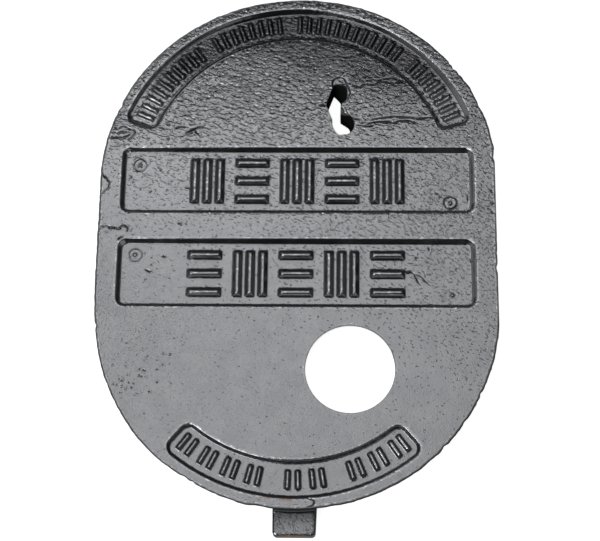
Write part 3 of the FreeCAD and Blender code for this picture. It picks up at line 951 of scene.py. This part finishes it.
def skin_colour(g, at, mottle, wear_shade):
    """Mottled skin with worn rims that carry a painted highlight and painted glints, painted shade
    in hollows, on recess walls and in shaded zones, and some rust.
    """
    flaky = g.noise(at.place, *FLAKES)
    skin = g.blend(g.ramp(mottle, *PATCHES), SKIN_DARK, SKIN_PALE)
    # Worn rims: worn iron, partly a painted highlight; the bared spots on them are painted glints
    skin = g.blend(g.ramp(wear_shade, 0.25, 0.9), skin, WORN_SHEEN)
    glint_share = g.times(g.ramp(wear_shade, 0.5, 0.9), g.ramp(flaky, 0.56, 0.64))
    skin = g.blend(glint_share, skin, BARE_GLINT)
    # Painted shade in hollows and beside openings and the outline
    skin = g.blend(g.ramp(wear_shade, *HOLLOWS, 0.0, 0.85), skin, HOLLOW_SHADE)
    # Painted shade on recess walls, more of it in the middle of the plate and below the face
    middle_wall_shade = g.ramp(g.math("ABSOLUTE", at.across), 0.078, 0.068, 0.35, 0.65)
    walls = g.times(g.ramp(at.facing, 0.93, 0.78), g.most(middle_wall_shade, g.times(at.sunk, 0.85)))
    skin = g.blend(walls, skin, WALL_SHADE)
    skin = g.blend(shade_share(g, at), skin, SHADED)
    return g.blend(rust_share(g, at, flaky), skin, RUSTY)


def casting_material():
    """Dipped grey iron: a satin skin over sand-cast grain, with worn rims that carry a painted
    highlight, painted shade in hollows, on walls and in the openings, and faint rust.
    """
    material = bpy.data.materials.new("satin_casting")
    g = Graph(material)
    shader = g.nodes["Principled BSDF"]
    place = g.add("TexCoord").outputs["Object"]
    across, up, level = g.add("SeparateXYZ", Vector=place).outputs
    normal = g.add("NewGeometry").outputs["Normal"]
    facing = g.add("SeparateXYZ", Vector=normal).outputs[2]
    sunk = g.ramp(level, *BELOW_FACE)
    at = SimpleNamespace(place=place, across=across, up=up, level=level, sunk=sunk, facing=facing)
    mottle = g.noise(place, *MOTTLE)
    wear_shade = g.attribute("wear_and_painted_shade")
    inner = g.attribute("painted_shade")
    bump = g.add("Bump", Height=grain_height(g, at), Distance=1.0, Strength=1.0)
    g.put(shader.inputs["Normal"], bump.outputs[0])
    # Painted shade: black matte skin inside the openings, on the plate's side and on the rim bevel
    colour = g.blend(inner, skin_colour(g, at, mottle, wear_shade), SHADE_BLACK)
    g.put(shader.inputs["Base Color"], colour)
    g.put(shader.inputs["Metallic"], g.minus(1.0, inner))
    shader.inputs["Specular IOR Level"].default_value = 0.0
    gloss = g.plus(g.ramp(mottle, *PATCHES, 0.16, 0.22), g.times(inner, 0.4))
    gloss = g.plus(gloss, g.ramp(wear_shade, *HOLLOWS, 0.0, 0.25))
    g.put(shader.inputs["Roughness"], gloss)
    return material


cover = build_cover()
cover.data.materials.append(casting_material())


# Floor, lights and camera

# Floor: shade as seen, and width and level in metres, a hair below the cover's seat
FLOOR_GLOW, FLOOR_WIDTH, FLOOR_LEVEL = 0.88, 30, -0.0002

# Height of the ceiling panels, distance of the round ones and the place they light, in metres
CEILING, DOME = 1.216, 1.6
LIT_PLACE = (0, 0, 0.016)

# Ceiling panels: name, middle x and y, size, brightness as seen, in metres
CEILING_PANELS = (
    ("overhead_south", (-0.25, -0.0625), (1.0, 0.625), 0.96),
    ("overhead_south_east", (0.5, -0.0625), (0.5, 0.625), 0.58),
    ("overhead", (-0.0625, 0.375), (0.375, 0.25), 0.97),
    ("overhead_left", (-0.375, 0.375), (0.25, 0.25), 1.12),
    ("overhead_right", (0.3125, 0.375), (0.375, 0.25), 0.81),
    ("overhead_west", (-0.625, 0.4375), (0.25, 0.375), 0.55),
    ("overhead_east", (0.625, 0.4375), (0.25, 0.375), 0.9),
    ("overhead_north", (-0.0625, 0.5625), (0.375, 0.125), 1.75),
    ("overhead_north_left", (-0.375, 0.5625), (0.25, 0.125), 1.75),
    ("overhead_north_right", (0.3125, 0.5625), (0.375, 0.125), 0.9),
    ("overhead_north_west", (-0.5, 0.6875), (0.5, 0.125), 1.17),
    ("overhead_north_east", (0.5, 0.6875), (0.5, 0.125), 0.93),
    ("overhead_far_east", (0.5, 0.8125), (0.5, 0.125), 0.45),
)

# Panels round the object: name, clockwise degrees from +y, degrees up, size, brightness as seen
ROUND_PANELS = (
    ("north", 15, 16, (1.55, 0.32), 0.3),
    ("east", 75, 28, (1.45, 0.32), 0.33),
    ("south_east", 135, 22, (1.5, 0.64), 0.6),
    ("south_foot", 180, 6, (0.83, 0.32), 1.2),
    ("south_west_glint", 222, 50, (1.0, 0.25), 7.5),
    ("south_west_low", 210, 16, (0.8, 0.32), 0.5),
    ("west_south_west", 240, 28, (0.73, 0.32), 0.5),
    ("west_south_west_low", 240, 16, (0.8, 0.32), 0.6),
    ("west", 285, 22, (1.5, 0.64), 0.53),
    ("north_west", 330, 22, (0.8, 0.64), 0.66),
)

# Where the camera is and how it is turned
CAMERA_MATRIX = (
    (0.99951172, -0.00393898, 0.03099699, 0.02879155),
    (0.01324511, 0.95189727, -0.30613093, -0.27141343),
    (-0.02830011, 0.30639201, 0.95148465, 0.82402283),
    (0, 0, 0, 1),
)


def floor():
    """White floor that shows as white to the camera and in reflections, and keeps the shadow."""
    bpy.ops.mesh.primitive_plane_add(size=FLOOR_WIDTH, location=(0, 0, FLOOR_LEVEL))
    plane = bpy.context.object
    plane.name = "floor"
    material = bpy.data.materials.new("floor_white")
    g = Graph(material)
    g.nodes.clear()
    rays = g.add("LightPath")
    seen = g.most(rays.outputs["Is Camera Ray"], rays.outputs["Is Glossy Ray"])
    glow = g.add("Emission", Strength=g.times(seen, FLOOR_GLOW))
    diffuse = g.add("BsdfDiffuse", Color=(0.8, 0.8, 0.8, 1))
    both = g.add("AddShader")
    g.put(both.inputs[0], diffuse.outputs[0])
    g.put(both.inputs[1], glow.outputs[0])
    g.put(g.add("OutputMaterial").inputs["Surface"], both.outputs[0])
    plane.data.materials.append(material)


def softbox(name, place, target, size, brightness):
    """White rectangular lamp whose face shows at the given brightness."""
    lamp = bpy.data.lights.new(name, "AREA")
    lamp.shape = "RECTANGLE"
    lamp.size, lamp.size_y = size
    lamp.energy = brightness * math.pi * size[0] * size[1]
    holder = bpy.data.objects.new(name, lamp)
    holder.location = place
    holder.rotation_mode = "QUATERNION"
    holder.rotation_quaternion = (Vector(target) - Vector(place)).to_track_quat("-Z", "Y")
    bpy.context.scene.collection.objects.link(holder)


def surroundings():
    """Dim surroundings that show to the camera in the floor's own shade, to hide the horizon."""
    world = bpy.data.worlds.new("studio")
    g = Graph(world)
    shown = g.add("LightPath").outputs["Is Camera Ray"]
    shade = g.blend(shown, (0.03, 0.031, 0.033, 1), (FLOOR_GLOW, FLOOR_GLOW, FLOOR_GLOW, 1))
    g.put(g.nodes["Background"].inputs["Color"], shade)
    bpy.context.scene.world = world


def photo_camera():
    """Camera that sees the cover as the photo does."""
    camera = bpy.data.objects.new("camera", bpy.data.cameras.new("camera"))
    camera.data.lens = 90
    camera.data.sensor_width = 36
    camera.data.clip_start = 0.05
    camera.data.clip_end = 50
    camera.matrix_world = Matrix(CAMERA_MATRIX)
    bpy.context.scene.collection.objects.link(camera)
    bpy.context.scene.camera = camera


floor()
for name, (x, y), size, brightness in CEILING_PANELS:
    softbox(name, (x, y, CEILING), (x, y, 0), size, brightness)
for name, bearing, rise, size, brightness in ROUND_PANELS:
    bearing, rise = math.radians(bearing), math.radians(rise)
    out = DOME * math.cos(rise)
    place = (out * math.sin(bearing), out * math.cos(bearing), DOME * math.sin(rise))
    softbox(name, place, LIT_PLACE, size, brightness)
surroundings()
photo_camera()
bpy.context.scene.view_settings.view_transform = "Standard"
